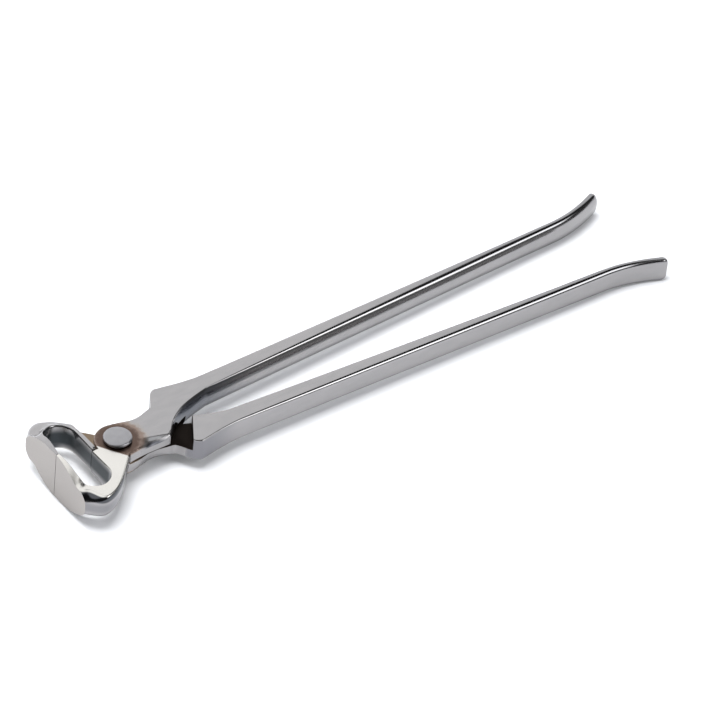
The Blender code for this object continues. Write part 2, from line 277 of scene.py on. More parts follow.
def rein_sections():
    places = []
    for step in range(TIP_STEPS + 1):
        angle = math.radians(90 * step / TIP_STEPS)
        places.append(rein_reach - TIP_ROUND * (1 - math.cos(angle)))
    for step in range(1, REIN_STEPS + 1):
        places.append(mix(rein_reach - TIP_ROUND, rein_start, step / REIN_STEPS))
    sections = []
    for place in places:
        share = max((place - rein_start) / (rein_reach - rein_start), 0.0)
        flare = max(place - (rein_reach - FLARE_LENGTH), 0.0) / FLARE_LENGTH
        offset = mix(REIN_START_OFFSET, REIN_END_OFFSET, share) + FLARE_OFFSET * flare * flare
        slope = (REIN_END_OFFSET - REIN_START_OFFSET) / (rein_reach - rein_start)
        slope += 2 * FLARE_OFFSET * flare / FLARE_LENGTH
        across = Vector((-slope, 1.0)).normalized()
        past = min(max(place - (rein_reach - TIP_ROUND), 0.0) / TIP_ROUND, 1.0)
        shrink = TIP_ROUND * (1 - math.sqrt(1 - past * past)) * TIP_SHRINK
        half_thickness = mix(REIN_START_THICKNESS, REIN_END_THICKNESS, share) / 2
        half_height = mix(REIN_START_HEIGHT, REIN_END_HEIGHT, share * share) / 2
        half_thickness -= shrink * half_thickness / half_height
        half_height -= shrink
        centre = Vector((place, offset))
        edge_round = mix(REIN_START_ROUND, REIN_END_ROUND, share ** ROUND_GROWTH)
        edge_round = mix(edge_round, FLARE_ROUND, flare)
        inner_round = mix(REIN_CRISP, REIN_END_ROUND, min(share * INNER_ROUND_LEAD, 1.0) ** ROUND_GROWTH)
        inner_round = mix(inner_round, FLARE_ROUND, flare)
        outer = bent_edge(edge_round, edge_round)
        inner = drafted_edge(inner_round, REIN_DRAFT_DROP)
        sections.append(section(centre + across * half_thickness, centre - across * half_thickness,
                                [half_height] * 4, [outer, inner, inner, outer]))
    return sections


print("rein sections:", len(rein_sections()))

# %% [markdown]
# ## Jaw outlines
#
# Half of the head belongs to each lever. In plan its outer edge leaves the boss, swings out to the flank
# and turns a tight corner towards the front. There it runs on past the face by some stock, which is cut off
# later. The inner edge is half of the long hole behind the blades. Both end a hair short of the middle.

# %% Outer and inner edge of a jaw
HALF_GAP = 0.15 * MM
BOSS_RADIUS = 11.6 * MM
HOLE_BACK = 15.0 * MM
HOLE_FRONT = 32.6 * MM
HOLE_HALF_WIDTH = 22.8 * MM
JAW_FLANK_REACH = 27.0 * MM
FACE_HALF_WIDTH = 26.0 * MM
FACE_STOCK = 4.5 * MM
EDGE_LAND = 1.6 * MM
ROOT_PULL = Vector((1 / 5, 4 / 3))
FLANK_PULL = Vector((0.56, 0.96))
CORNER_PULL = 0.5
FACE_PULL = 0.25
CURVE_STEPS = 96


def jaw_outer_edge():
    root = Vector((0, -BOSS_RADIUS))
    flank = Vector((-JAW_FLANK_REACH, -jaw_half_width))
    end = Vector((-face_reach, -FACE_HALF_WIDTH))
    corner = Vector((end.x, flank.y))
    root_side = Vector((flank.x * ROOT_PULL.x, root.y * ROOT_PULL.y))
    flank_side = Vector((flank.x * FLANK_PULL.x, flank.y * FLANK_PULL.y))
    points = cubic(root, root_side, flank_side, flank, CURVE_STEPS)
    points += cubic(flank, mix(flank, corner, CORNER_PULL), mix(end, flank, FACE_PULL), end, CURVE_STEPS)[1:]
    stock_end = end + (end - flank) * FACE_STOCK / (flank.x - end.x)
    points += [stock_end, Vector((stock_end.x, -HALF_GAP))]
    return points


def jaw_hole_edge():
    end_radius = (HOLE_FRONT - HOLE_BACK) / 2
    end_centre = Vector((-(HOLE_FRONT + HOLE_BACK) / 2, end_radius - HOLE_HALF_WIDTH))
    points = [Vector((-HOLE_BACK, -HALF_GAP))]
    points += arc(end_centre, end_radius, 360, 180, CURVE_STEPS)
    points.append(Vector((EDGE_LAND - face_reach, -HALF_GAP)))
    return points


print("outer edge of a jaw:", len(jaw_outer_edge()), "points")

# %% [markdown]
# ## Shoulder, neck and boss
#
# Behind the pivot the bar is at its widest: the outer edge steps out into the shoulder, which leans into a
# small ear, and the inner edge sweeps across under the other lever. A shallow scoop rolls the neck's inner
# top edge down, and the waist has a drafted outer side. Then the first edge turns round the boss while the
# second one goes on to the jaw.

# %% Sections of the neck
BODY_HALF_THICKNESS = 6.6 * MM
BODY_EDGE_ROUND = 0.8 * MM
WAIST_REACH = 14.5 * MM
WAIST_OUTER_OFFSET = 9.5 * MM
NECK_LENGTH = 25.5 * MM
NECK_OUTER_OFFSET = 11.0 * MM
NECK_INNER_REACH = 24.3 * MM
NECK_INNER_OFFSET = 10.5 * MM
NECK_ROOT_RISE = 1.6 * MM
SCOOP_START = 5.0 * MM
SCOOP_RISE = 9.0 * MM
SCOOP_END = 26.5 * MM
SCOOP_FALL = 12.0 * MM
SCOOP_DEPTH = 2.2 * MM
SCOOP_WIDTH = 7.2 * MM
SCOOP_TURN = 34
WAIST_DRAFT = 1.7 * MM
WAIST_DROP = 5.8 * MM
WAIST_FADE = 8.0 * MM
SHOULDER_CREST = 36.5 * MM
SHOULDER_OFFSET = 21.8 * MM
SHOULDER_EAR = 1.4 * MM
EAR_START_SHARE = 0.4
EAR_END_PULL = 0.6
NECK_END_PULL = 0.4
SWEEP_START_PULL = Vector((-0.7, -0.17))
SWEEP_END_PULL = Vector((0.33, 0.43))
NECK_FLOOR_SHARE = 0.3
NECK_ROOT_PULL = 0.35
SWEPT_LEAD = 0.55
NECK_SECTIONS = 130


def neck_edges():
    rein_outer = Vector((rein_start, REIN_START_OFFSET + REIN_START_THICKNESS / 2))
    rein_inner = Vector((rein_start, REIN_START_OFFSET - REIN_START_THICKNESS / 2))
    shoulder = Vector((SHOULDER_CREST, SHOULDER_OFFSET))
    neck_end = Vector((NECK_LENGTH, NECK_OUTER_OFFSET))
    waist = Vector((WAIST_REACH, WAIST_OUTER_OFFSET))
    boss_start = Vector((0, BOSS_RADIUS))
    along_x = Vector((SHOULDER_REACH / 4, 0))
    ear_lean = along_x - Vector((0, SHOULDER_EAR))
    ear_start = rein_outer.lerp(shoulder, EAR_START_SHARE) - Vector((0, SHOULDER_EAR / 2))
    outer = cubic(rein_outer, ear_start, shoulder + ear_lean, shoulder, CURVE_STEPS)
    outer += cubic(shoulder, shoulder - ear_lean * EAR_END_PULL, neck_end + along_x * NECK_END_PULL, neck_end,
                   CURVE_STEPS)[1:]
    outer += cubic(neck_end, neck_end.lerp(waist, 0.5), waist + along_x / 4, waist, CURVE_STEPS)[1:]
    outer += cubic(waist, waist - along_x / 2, boss_start + along_x, boss_start, CURVE_STEPS)[1:]
    front = 180 + math.degrees(math.asin(2 * HALF_GAP / BOSS_RADIUS))
    outer += arc(Vector((0, 0)), BOSS_RADIUS, 90, front, CURVE_STEPS)[1:]
    bottom = Vector((NECK_INNER_REACH, -NECK_INNER_OFFSET))
    root = jaw_outer_edge()[0]
    sweep_start = rein_inner + SWEEP_LENGTH * SWEEP_START_PULL
    sweep_end = bottom + SWEEP_LENGTH * SWEEP_END_PULL
    inner = cubic(rein_inner, sweep_start, sweep_end, bottom, 2 * CURVE_STEPS)
    floor = bottom.lerp(Vector((root.x, bottom.y)), NECK_FLOOR_SHARE)
    root_side = root + Vector((NECK_INNER_REACH * NECK_ROOT_PULL, NECK_ROOT_RISE))
    inner += cubic(bottom, floor, root_side, root, CURVE_STEPS)[1:]
    return outer, inner


def neck_sections():
    outer, inner = neck_edges()
    sections = []
    for first, second in list(zip(strides(outer, NECK_SECTIONS), strides(inner, NECK_SECTIONS)))[1:]:
        reach = min(max((second.x - SHOULDER_REACH) / SWEEP_LENGTH, 0.0), 1.0)
        half_height = mix(BODY_HALF_THICKNESS, REIN_START_HEIGHT / 2, reach)
        edge_round = mix(BODY_EDGE_ROUND, REIN_START_ROUND, reach)
        scoop = smooth_step((second.x - SCOOP_START) / SCOOP_RISE)
        scoop *= min(max((SCOOP_END - second.x) / SCOOP_FALL, 0.0), 1.0)
        waist = smooth_step(first.x / WAIST_FADE) * smooth_step((NECK_LENGTH - first.x) / WAIST_FADE)
        swept = smooth_step((second.x - SHOULDER_REACH) / SWEEP_LENGTH + SWEPT_LEAD)
        plain = bent_edge(edge_round, edge_round)
        draft = drafted_edge(REIN_CRISP, REIN_DRAFT_DROP)
        roll = bent_edge(SCOOP_WIDTH, SCOOP_DEPTH, 0, SCOOP_TURN)
        side = blend(plain, bent_edge(WAIST_DRAFT, WAIST_DROP), waist)
        inner_top = blend(blend(plain, roll, scoop), draft, swept)
        inner_bottom = blend(plain, draft, swept)
        sections.append(section(first, second, [half_height] * 4, [side, inner_top, inner_bottom, plain]))
    return sections


print("neck sections:", len(neck_sections()))

# %% [markdown]
# ## The jaw
#
# From the parting face behind the hole the bar runs round the loop to the cutting edge. It grows taller
# on the way, tallest at the middle of the front face. The upper outer edge is creased and rounds off more
# towards the face. The lower one is forged far round, so that turned over it makes the soft rim of the
# other half. Along the blade the section tilts, so that the metal slopes down from the hole to the face.

# %% Sections of the jaw
JAW_RIM_HALF_HEIGHT = 7.6 * MM
JAW_FLANK_HEIGHT = 7.0 * MM
JAW_FLANK_DEPTH = 6.5 * MM
JAW_EDGE_ROUND = 1.2 * MM
JAW_FLANK_ROUND = 6.0 * MM
JAW_FLANK_DROP = 4.2 * MM
JAW_TOP_ROUND = 1.8 * MM
JAW_TOP_DROP = 2.6 * MM
BLADE_SLOPE = 0.45
BLADE_LENGTH = 20.0 * MM
JAW_SHOULDER_WIDTH = 4.8 * MM
JAW_SHOULDER_DROP = 6.6 * MM
JAW_CREASE = 25
FACE_END_HEIGHT = 7.0 * MM
FACE_END_DEPTH = 7.4 * MM
FACE_TOP_BOW = 1.15
FACE_BOTTOM_BOW = 3.5
FACE_EDGE_ROUND = 0.5 * MM
JAW_SECTIONS = 170


def top_ease(across):
    return smooth_step(across ** FACE_TOP_BOW)


def bottom_ease(across):
    return across ** FACE_BOTTOM_BOW


def jaw_height(point, rim, face_end, ease):
    reach = -point.x
    if reach < HOLE_BACK:
        return mix(BODY_HALF_THICKNESS, rim, smooth_step(reach / HOLE_BACK))
    across = min(abs(point.y) / FACE_HALF_WIDTH, 1.0)
    face = mix(face_half_height, face_end, ease(across))
    return mix(rim, face, smooth_step((reach - HOLE_BACK) / (face_reach - HOLE_BACK)))


def jaw_sections():
    sections = []
    outer = strides(jaw_outer_edge(), JAW_SECTIONS + 1)[1:]
    for first, second in zip(strides(jaw_hole_edge(), JAW_SECTIONS), outer):
        end_share = smooth_step((-second.y - BOSS_RADIUS) / (FACE_HALF_WIDTH - BOSS_RADIUS))
        face_share = smooth_step((-second.x - JAW_FLANK_REACH) / (face_reach - JAW_FLANK_REACH))
        crisp = mix(JAW_EDGE_ROUND, FACE_EDGE_ROUND, face_share)
        flank_top = jaw_height(second, JAW_FLANK_HEIGHT, FACE_END_HEIGHT, top_ease)
        flank_bottom = jaw_height(second, JAW_FLANK_DEPTH, FACE_END_DEPTH, bottom_ease)
        rim_top = jaw_height(first, JAW_RIM_HALF_HEIGHT, FACE_END_HEIGHT, top_ease)
        rim_bottom = jaw_height(first, JAW_RIM_HALF_HEIGHT, FACE_END_DEPTH, bottom_ease)
        on_face = smooth_step((-second.x - face_reach) / FACE_STOCK)
        past_blade = smooth_step((-second.y - BLADE_LENGTH) / (FACE_HALF_WIDTH - BLADE_LENGTH))
        tilt = BLADE_SLOPE * on_face * (1 - past_blade)
        crest = FACE_STOCK + EDGE_LAND
        rise = tilt * ((second - first).length - crest)
        rim_top = mix(min(rim_top, flank_top), flank_top + rise, on_face)
        rim_bottom = mix(rim_bottom, flank_bottom + rise, on_face * (1 - end_share))
        flank_top -= tilt * crest
        flank_bottom -= tilt * crest * (1 - end_share)
        rim_edge = bent_edge(crisp, crisp)
        top = bent_edge(mix(JAW_TOP_ROUND, JAW_SHOULDER_WIDTH, face_share),
                        mix(JAW_TOP_DROP, JAW_SHOULDER_DROP, face_share), JAW_CREASE * face_share)
        top = blend(rim_edge, top, end_share)
        soft = blend(rim_edge, bent_edge(JAW_FLANK_ROUND, JAW_FLANK_DROP), end_share)
        sections.append(section(first, second, [rim_top, flank_top, flank_bottom, rim_bottom],
                                [rim_edge, top, soft, rim_edge]))
    return sections


print("jaw sections:", len(jaw_sections()))

# %% [markdown]
# ## Rolling the bar
#
# The sections become metal the way a tube is rolled from sheet. A grid is added with one row for each
# section, each row is laid on its section, and the long seam is closed by merging the two edges that
# meet. Filling the two open ends makes it a closed bar.

# %% Roll a sheet into a bar
MERGE_DISTANCE = 0.001 * MM


def pick(piece):
    """Make one piece the only selected and active one."""
    bpy.ops.object.select_all(action="DESELECT")
    piece.select_set(True)
    bpy.context.view_layer.objects.active = piece


def edit(piece, *steps):
    """Run edit-mode steps on all of one piece."""
    pick(piece)
    bpy.ops.object.mode_set(mode="EDIT")
    bpy.ops.mesh.select_all(action="SELECT")
    for step in steps:
        step()
    bpy.ops.object.mode_set(mode="OBJECT")


def fill_ends():
    bpy.ops.mesh.select_all(action="DESELECT")
    bpy.ops.mesh.select_non_manifold(extend=False)
    bpy.ops.mesh.fill_holes(sides=0)
    bpy.ops.mesh.select_all(action="SELECT")
    bpy.ops.mesh.normals_make_consistent(inside=False)


def rolled_bar(name, sections):
    points_round = len(sections[0])
    bpy.ops.mesh.primitive_grid_add(x_subdivisions=points_round, y_subdivisions=len(sections) - 1, size=1)
    bar = bpy.context.object
    bar.name = name
    for vertex in bar.data.vertices:
        row, column = divmod(vertex.index, points_round + 1)
        vertex.co = sections[row][column % points_round]
    edit(bar, lambda: bpy.ops.mesh.remove_doubles(threshold=MERGE_DISTANCE), fill_ends)
    return bar


upper_forging = rolled_bar("upper_forging", rein_sections() + neck_sections() + jaw_sections())
print("rolled bar:", len(upper_forging.data.vertices), "points,", len(upper_forging.data.polygons), "faces")

# %% [markdown]
# ## The half lap and the rivet hole
#
# To cross, each lever loses half of its thickness round the pivot. The cut starts at a straight wall in
# front of the boss, and runs back to a slanting wall under the shoulder. A flat outline is raised into a
# cutter, a Boolean takes it from the bar, and a drilled hole follows. Last, a box takes the stock off the
# front, which leaves the flat face.

# %% Cut the lap and the hole
LAP_GAP = 0.3 * MM
LAP_WALL_CLEARANCE = 1.1 * MM
SHOULDER_WALL_REACH = 29.8 * MM
SHOULDER_WALL_SLOPE = 0.65
RIVET_SHANK_RADIUS = 4.8 * MM
RIVET_CLEARANCE = 0.3 * MM
ROUND_SIDES = 96
CUT_PAST = 60 * MM


def lap_outline():
    front = -(BOSS_RADIUS + LAP_WALL_CLEARANCE)
    near_wall = SHOULDER_WALL_REACH - SHOULDER_WALL_SLOPE * (CUT_PAST - SHOULDER_OFFSET)
    far_wall = SHOULDER_WALL_REACH + SHOULDER_WALL_SLOPE * (CUT_PAST + SHOULDER_OFFSET)
    return [Vector((front, CUT_PAST)), Vector((front, -CUT_PAST)),
            Vector((far_wall, -CUT_PAST)), Vector((near_wall, CUT_PAST))]


def raise_to_lap():
    bpy.ops.mesh.extrude_region_move(TRANSFORM_OT_translate={"value": (0, 0, CUT_PAST + LAP_GAP / 2)})
    bpy.ops.mesh.select_all(action="SELECT")
    bpy.ops.mesh.normals_make_consistent(inside=False)


def lap_cutter():
    outline = lap_outline()
    bpy.ops.mesh.primitive_circle_add(vertices=len(outline), radius=BOSS_RADIUS, fill_type="NGON")
    cutter = bpy.context.object
    for vertex, point in zip(cutter.data.vertices, outline):
        vertex.co = (point.x, point.y, -CUT_PAST)
    edit(cutter, raise_to_lap)
    return cutter


def hole_cutter():
    bpy.ops.mesh.primitive_cylinder_add(vertices=ROUND_SIDES, depth=2 * CUT_PAST,
                                        radius=RIVET_SHANK_RADIUS + RIVET_CLEARANCE)
    return bpy.context.object


def face_cutter():
    bpy.ops.mesh.primitive_cube_add(size=2 * CUT_PAST, location=(-face_reach - CUT_PAST, 0, 0))
    return bpy.context.object


def apply_all(piece):
    pick(piece)
    for name in [modifier.name for modifier in piece.modifiers]:
        bpy.ops.object.modifier_apply(modifier=name)


def take_out(piece, cutter):
    cut = piece.modifiers.new("cut", "BOOLEAN")
    cut.operation = "DIFFERENCE"
    cut.object = cutter
    apply_all(piece)
    bpy.data.objects.remove(cutter)


take_out(upper_forging, lap_cutter())
take_out(upper_forging, hole_cutter())
take_out(upper_forging, face_cutter())
print("cut forging:", len(upper_forging.data.polygons), "faces")

# %% [markdown]
# ## Broken edges
#
# A small bevel breaks the edges that the cuts left. Then the forging is shaded smooth up to an angle, and
# its normals are weighted by area, so that the flats mirror the room evenly.

# %% Break the edges and shade the forging
EDGE_BREAK = 0.18 * MM
EDGE_BREAK_FACETS = 2
BREAK_ANGLE = math.radians(50)
SMOOTH_ANGLE = math.radians(35)

edge_break = upper_forging.modifiers.new("edge_break", "BEVEL")
edge_break.width = EDGE_BREAK
edge_break.segments = EDGE_BREAK_FACETS
edge_break.limit_method = "ANGLE"
edge_break.angle_limit = BREAK_ANGLE
apply_all(upper_forging)
bpy.ops.object.shade_smooth_by_angle(angle=SMOOTH_ANGLE)
even_light = upper_forging.modifiers.new("even_light", "WEIGHTED_NORMAL")
even_light.keep_sharp = True
apply_all(upper_forging)
print("finished forging:", len(upper_forging.data.polygons), "faces")

# %% [markdown]
# ## The second lever
#
# Both levers come from one die. The second forging is a copy with its own mesh, turned half a turn about
# the tool's long axis. Then both drop to the lap plane's level, and their places are applied so that each
# object sits at the origin.

# %% Turn a copy over
def settle(piece):
    pick(piece)
    piece.location.z = lap_level
    bpy.ops.object.transform_apply(location=True, rotation=True, scale=True)


lower_forging = upper_forging.copy()
lower_forging.data = upper_forging.data.copy()
lower_forging.name = "lower_forging"
bpy.context.collection.objects.link(lower_forging)
lower_forging.rotation_euler.x = math.pi
settle(upper_forging)
settle(lower_forging)
print("levers:", upper_forging.name, lower_forging.name)

# %% [markdown]
# ## The rivet
#
# The pin is set hot: its head is upset over the boss and then faced flat on a grinder, which leaves a
# slightly domed disc with a soft rim. One profile runs from the shank out to the rim and in over the dome.
# With its mirror image below it gives the rings of points, which are rolled into a closed piece like the
# levers.

# %% Turn the rivet
RIVET_SEAT = BODY_HALF_THICKNESS + RIVET_CLEARANCE
HEAD_CHAMFER_WIDTH = 0.4 * MM
HEAD_CHAMFER_HEIGHT = 0.5 * MM
RIM_ROUND = 0.9 * MM
DOME_DROP = 0.12 * MM
DOME_MIDDLE = 0.5
DOME_MIDDLE_DROP = 0.03 * MM
DOME_FLAT = 0.12
RIVET_SMOOTH_ANGLE = math.radians(40)


def head_profile():
    """Radius and height from the shank to the middle of the dome."""
    profile = [(RIVET_SHANK_RADIUS, RIVET_SEAT), (rivet_radius - HEAD_CHAMFER_WIDTH, RIVET_SEAT),
               (rivet_radius, RIVET_SEAT + HEAD_CHAMFER_HEIGHT)]
    for step in range(CORNER_STEPS + 1):
        angle = math.radians(90 * step / CORNER_STEPS)
        radius = rivet_radius - RIM_ROUND + RIM_ROUND * math.cos(angle)
        height = rivet_top - DOME_DROP - RIM_ROUND + RIM_ROUND * math.sin(angle)
        profile.append((radius, height))
    profile.append((rivet_radius * DOME_MIDDLE, rivet_top - DOME_MIDDLE_DROP))
    profile.append((rivet_radius * DOME_FLAT, rivet_top))
    return profile


def turned_rivet():
    upper = head_profile()
    profile = [(radius, -height) for radius, height in reversed(upper)] + upper
    angles = [2 * math.pi * side / ROUND_SIDES for side in range(ROUND_SIDES)]
    sections = []
    for radius, height in profile:
        sections.append([Vector((radius * math.cos(a), radius * math.sin(a), height)) for a in angles])
    rivet = rolled_bar("set_rivet", sections)
    pick(rivet)
    bpy.ops.object.shade_smooth_by_angle(angle=RIVET_SMOOTH_ANGLE)
    return rivet


set_rivet = turned_rivet()
settle(set_rivet)
print("rivet:", len(set_rivet.data.polygons), "faces")

# %% [markdown]
# ## Writing shader maths
#
# A finish is a small drawing of nodes. The class below wraps one output of a node, so that sums on it add
# Math nodes. Its node method adds any other node. Short methods add a named sum, a smooth ramp, the same
# ramp falling, and a band that rises and falls again.

# %% A wire between nodes
class Wire:
    def __init__(self, tree, socket=None):
        self.tree = tree
        self.socket = socket

    def node(self, kind, settings=None, inputs=None, output=0):
        made = self.tree.nodes.new(kind)
        for name, value in (settings or {}).items():
            setattr(made, name, value)
        for name, value in (inputs or {}).items():
            if isinstance(value, Wire):
                self.tree.links.new(value.socket, made.inputs[name])
            else:
                made.inputs[name].default_value = value
        return Wire(self.tree, made.outputs[output])

    def sum(self, operation, first, second):
        return self.node("ShaderNodeMath", {"operation": operation}, {0: first, 1: second})

    def __add__(self, other):
        return self.sum("ADD", self, other)

    def __sub__(self, other):
        return self.sum("SUBTRACT", self, other)

    def __mul__(self, other):
        return self.sum("MULTIPLY", self, other)

    def __truediv__(self, other):
        return self.sum("DIVIDE", self, other)

    def __rsub__(self, other):
        return self.sum("SUBTRACT", other, self)

    __radd__ = __add__
    __rmul__ = __mul__

    def ramp(self, low, high):
        """0 below low, 1 above high, and smooth between."""
        return self.node("ShaderNodeMapRange", {"interpolation_type": "SMOOTHSTEP"},
                         {"Value": self, "From Min": low, "From Max": high})

    def fall(self, low, high):
        """1 below low, 0 above high, and smooth between."""
        return 1 - self.ramp(low, high)

    def band(self, rise_low, rise_high, fall_low, fall_high):
        """0, then 1 between the rise and the fall, then 0 again."""
        return self.ramp(rise_low, rise_high) * self.fall(fall_low, fall_high)


print("wires ready")

# %% [markdown]
# ## Small helpers for finishes
#
# Every finish of the tool starts as bare metal. The helpers make that start, plug a wire into its shader,
# mix two colours, stretch a noise, and turn a fine relief into a bump. The bump is only two hundredths of
# a millimetre deep, as deep as a polishing scratch looks.

# %% Helpers for finishes
BUMP_STRENGTH = 0.3
BUMP_DEPTH = 0.02 * MM


def blank_finish(name):
    """A metal finish, its start for new nodes, and its shader."""
    finish = bpy.data.materials.new(name)
    finish.use_nodes = True
    shader = finish.node_tree.nodes["Principled BSDF"]
    shader.inputs["Metallic"].default_value = 1
    return finish, Wire(finish.node_tree), shader


def plug(shader, name, wire):
    wire.tree.links.new(wire.socket, shader.inputs[name])


def plug_relief(shader, relief):
    bump = relief.node("ShaderNodeBump", None,
                       {"Strength": BUMP_STRENGTH, "Distance": BUMP_DEPTH, "Height": relief})
    plug(shader, "Normal", bump)


def mixed(share, first, second):
    return share.node("ShaderNodeMix", {"data_type": "RGBA"}, {0: share, 6: first, 7: second}, output=2)


def split(vector):
    """The three parts of a vector, each as a wire."""
    return [vector.node("ShaderNodeSeparateXYZ", None, {0: vector}, output=axis) for axis in range(3)]


def noise(place, stretch, detail):
    spread = place.node("ShaderNodeVectorMath", {"operation": "MULTIPLY"}, {0: place, 1: stretch})
    return place.node("ShaderNodeTexNoise", None, {"Vector": spread, "Scale": 1.0, "Detail": detail})


print("finish helpers ready")

# %% [markdown]
# ## Places on the forging
#
# Much of the finish depends on where a point lies. A mask is 1 in one place and 0 elsewhere, with a smooth
# step between. Places are given in millimetres from the pivot: x along the tool, y across it, and z up from
# the lap plane, as they are on the upper lever. The lower lever gets y and z with the other sign, so one set
# of masks serves both. Level and width are z and y without their sign.

# %% Masks for the neck and the rein
def rein_masks(x, y, level):
    below_top = level.fall(5.4, 6.2)
    in_scoop = y.fall(-5, -3) * x.band(8, 11, 17, 23)
    return {
        # painted shade: the rein's top and bottom get darker towards the tip
        "rein end shade": x.ramp(120, 300) * level.ramp(4.8, 5.8),
        "neck side": x.band(3, 8, 29, 33) * level.fall(6.4, 6.58),
        # painted shade: the inner wall of the sweep, below its top, is darker
        "sweep": y.fall(11, 13) * below_top * x.band(27, 31, 45, 95),
        # painted shade: the outer wall at the shoulder, below its top, is darker
        "shoulder": y.ramp(15, 17) * below_top * x.band(27, 31, 38, 62),
        # painted highlight: a light strip along the top of the scoop's roll
        "scoop highlight": in_scoop * level.band(5.6, 5.9, 6.45, 6.58),
        # painted shade: a dark strip along the lower part of the scoop
        "scoop shade": in_scoop * level.band(3.9, 4.4, 5.2, 5.8),
    }


print("rein masks ready")

# %% [markdown]
# The jaws were polished once more after the rivet was set, up to a slightly ragged line. In front of it the
# top gets a painted highlight, a much lighter colour. The face was ground flat, and a painted dark
# reflection runs round as a band under the jaw's top edge.

# %% Masks for the jaw
JAW_LINE_SLOPE = 1.5
JAW_LINE_OFFSET = 15.35


def behind_jaw(x, y, ragged):
    return (y + x * JAW_LINE_SLOPE + JAW_LINE_OFFSET + ragged).ramp(-0.7, 0.7)


def jaw_masks(x, z, level, width, jaw_line):
    face_at = -face_reach / MM
    ground_face = x.fall(face_at + 0.02, face_at + 0.1)
    off_face = 1 - ground_face
    return {
        "ground face": ground_face,
        # painted shade: the jaw's outer flank, round the lap plane, is darker
        "flank": width.ramp(23.5, 26) * level.fall(1, 4) * x.fall(-14, -8) * off_face,
        # painted shade: the walls inside the hole behind the blades are near black
        "hole": x.band(-34.9, -34.4, -14.9, -14.0) * width.fall(23.0, 24.0) * level.fall(2.5, 7.2),
        # painted highlight: a much lighter colour on each jaw's own top, which is also rougher, with fainter
        # scratches
        "jaw top finish and highlight": (1 - jaw_line) * z.ramp(5.6, 6.2) * off_face,
        # painted reflection: a dark band round the jaw under its top edge
        "jaw band reflection": width.ramp(20, 23) * z.band(3.2, 4.2, 6.3, 6.7) * x.fall(-14, -9) * off_face,
    }


print("jaw masks ready")

# %% [markdown]
# Setting the hot rivet tinted the steel round it: dark brown at the head, then brown, fading through straw
# and stopping at the line of the jaws. Inside the lap, which no belt reaches, black scale is left on the
# floor behind the rivet and on the slanting wall under the shoulder.

# %% Masks for heat and scale
RAGGED_HEAT = 4


def heat_masks(x, y, z, level, ragged, jaw_line):
    square = x * x + y * y
    from_pin = square.sum("SQRT", square, 0.0) + ragged * RAGGED_HEAT
    heat = from_pin.fall(8.0, 17.5) * jaw_line * level.ramp(4.6, 6.2)
    wall_at = (SHOULDER_WALL_REACH + SHOULDER_WALL_SLOPE * SHOULDER_OFFSET) / MM
    past_wall = x + y * SHOULDER_WALL_SLOPE - wall_at
    on_wall = past_wall.band(-0.4, -0.1, 0.1, 0.4) * z.fall(0.2, 0.5)
    in_lap = level.fall(0.4, 0.75) * x.ramp(-13.0, -12.5) * past_wall.fall(-0.1, 0.2)
    return {
        "heat": heat,
        "straw": heat.ramp(0.02, 0.30),
        "brown": heat.ramp(0.22, 0.55),
        "dark brown": heat.ramp(0.55, 0.95),
        "lap": in_lap,
        "scale": on_wall.sum("MAXIMUM", in_lap * x.ramp(2, 10), on_wall),
    }


print("heat masks ready")

# %% [markdown]
# ## Polished forging
#
# The steel is belt polished: fine scratches along the bar over faint clouds of duller metal. On it the
# masks lay one colour after another. Some are real tints: the heat, the lap with its scale, and the ground
# face. The others are painted light for what the steel mirrors: painted shade on the dim walls of the sweep,
# shoulder, flank and hole, a painted dark reflection in the band round the jaw, a painted highlight on the
# jaw's top, a painted highlight and painted shade in the scoop, and painted shade on the darker ends of the
# reins. Ground, tinted and scaled places, the jaw's top and the neck's side are rougher too.

# %% Forged steel finish
BRIGHT_STEEL = (0.348, 0.338, 0.338, 1)
CLOUDED_STEEL = (0.326, 0.319, 0.319, 1)
LAYERS = (
    # painted shade on the inner wall of the sweep
    ("sweep", (0.135, 0.142, 0.158, 1)),
    # painted shade on the ends of the reins
    ("rein end shade", (0.265, 0.26, 0.265, 1)),
    # painted shade on the outer wall at the shoulder
    ("shoulder", (0.215, 0.213, 0.226, 1)),
    # painted shade on the jaw's outer flank
    ("flank", (0.245, 0.242, 0.25, 1)),
    # painted highlight along the top of the scoop
    ("scoop highlight", (0.72, 0.72, 0.73, 1)),
    # painted shade along the lower part of the scoop
    ("scoop shade", (0.10, 0.102, 0.112, 1)),
    # painted highlight on the jaw's top
    ("jaw top finish and highlight", (0.66, 0.64, 0.60, 1)),
    # painted dark reflection in the band round the jaw
    ("jaw band reflection", (0.085, 0.088, 0.095, 1)),
    ("ground face", (0.375, 0.352, 0.333, 1)),
    ("straw", (0.345, 0.32, 0.30, 1)),
    ("brown", (0.255, 0.195, 0.165, 1)),
    ("dark brown", (0.105, 0.072, 0.058, 1)),
    ("lap", (0.20, 0.15, 0.105, 1)),
    ("scale", (0.022, 0.017, 0.014, 1)),
    # painted shade on the walls inside the hole
    ("hole", (0.045, 0.051, 0.055, 1)),
)
ROUGHER = (("heat", 0.15), ("scale", 0.3), ("lap", 0.15), ("ground face", 0.2), ("jaw top finish and highlight", 0.1),
           ("neck side", 0.15))


def forging_masks(place, side):
    x, y, z = split(place)
    x = x / MM
    y = y * side / MM
    z = (z - lap_level) * side / MM
    level = z.sum("ABSOLUTE", z, 0.0)
    width = y.sum("ABSOLUTE", y, 0.0)
    ragged = noise(place, (420, 420, 420), 3.0) - 0.5
    jaw_line = behind_jaw(x, y, ragged)
    masks = rein_masks(x, y, level)
    masks.update(jaw_masks(x, z, level, width, jaw_line))
    masks.update(heat_masks(x, y, z, level, ragged, jaw_line))
    return masks


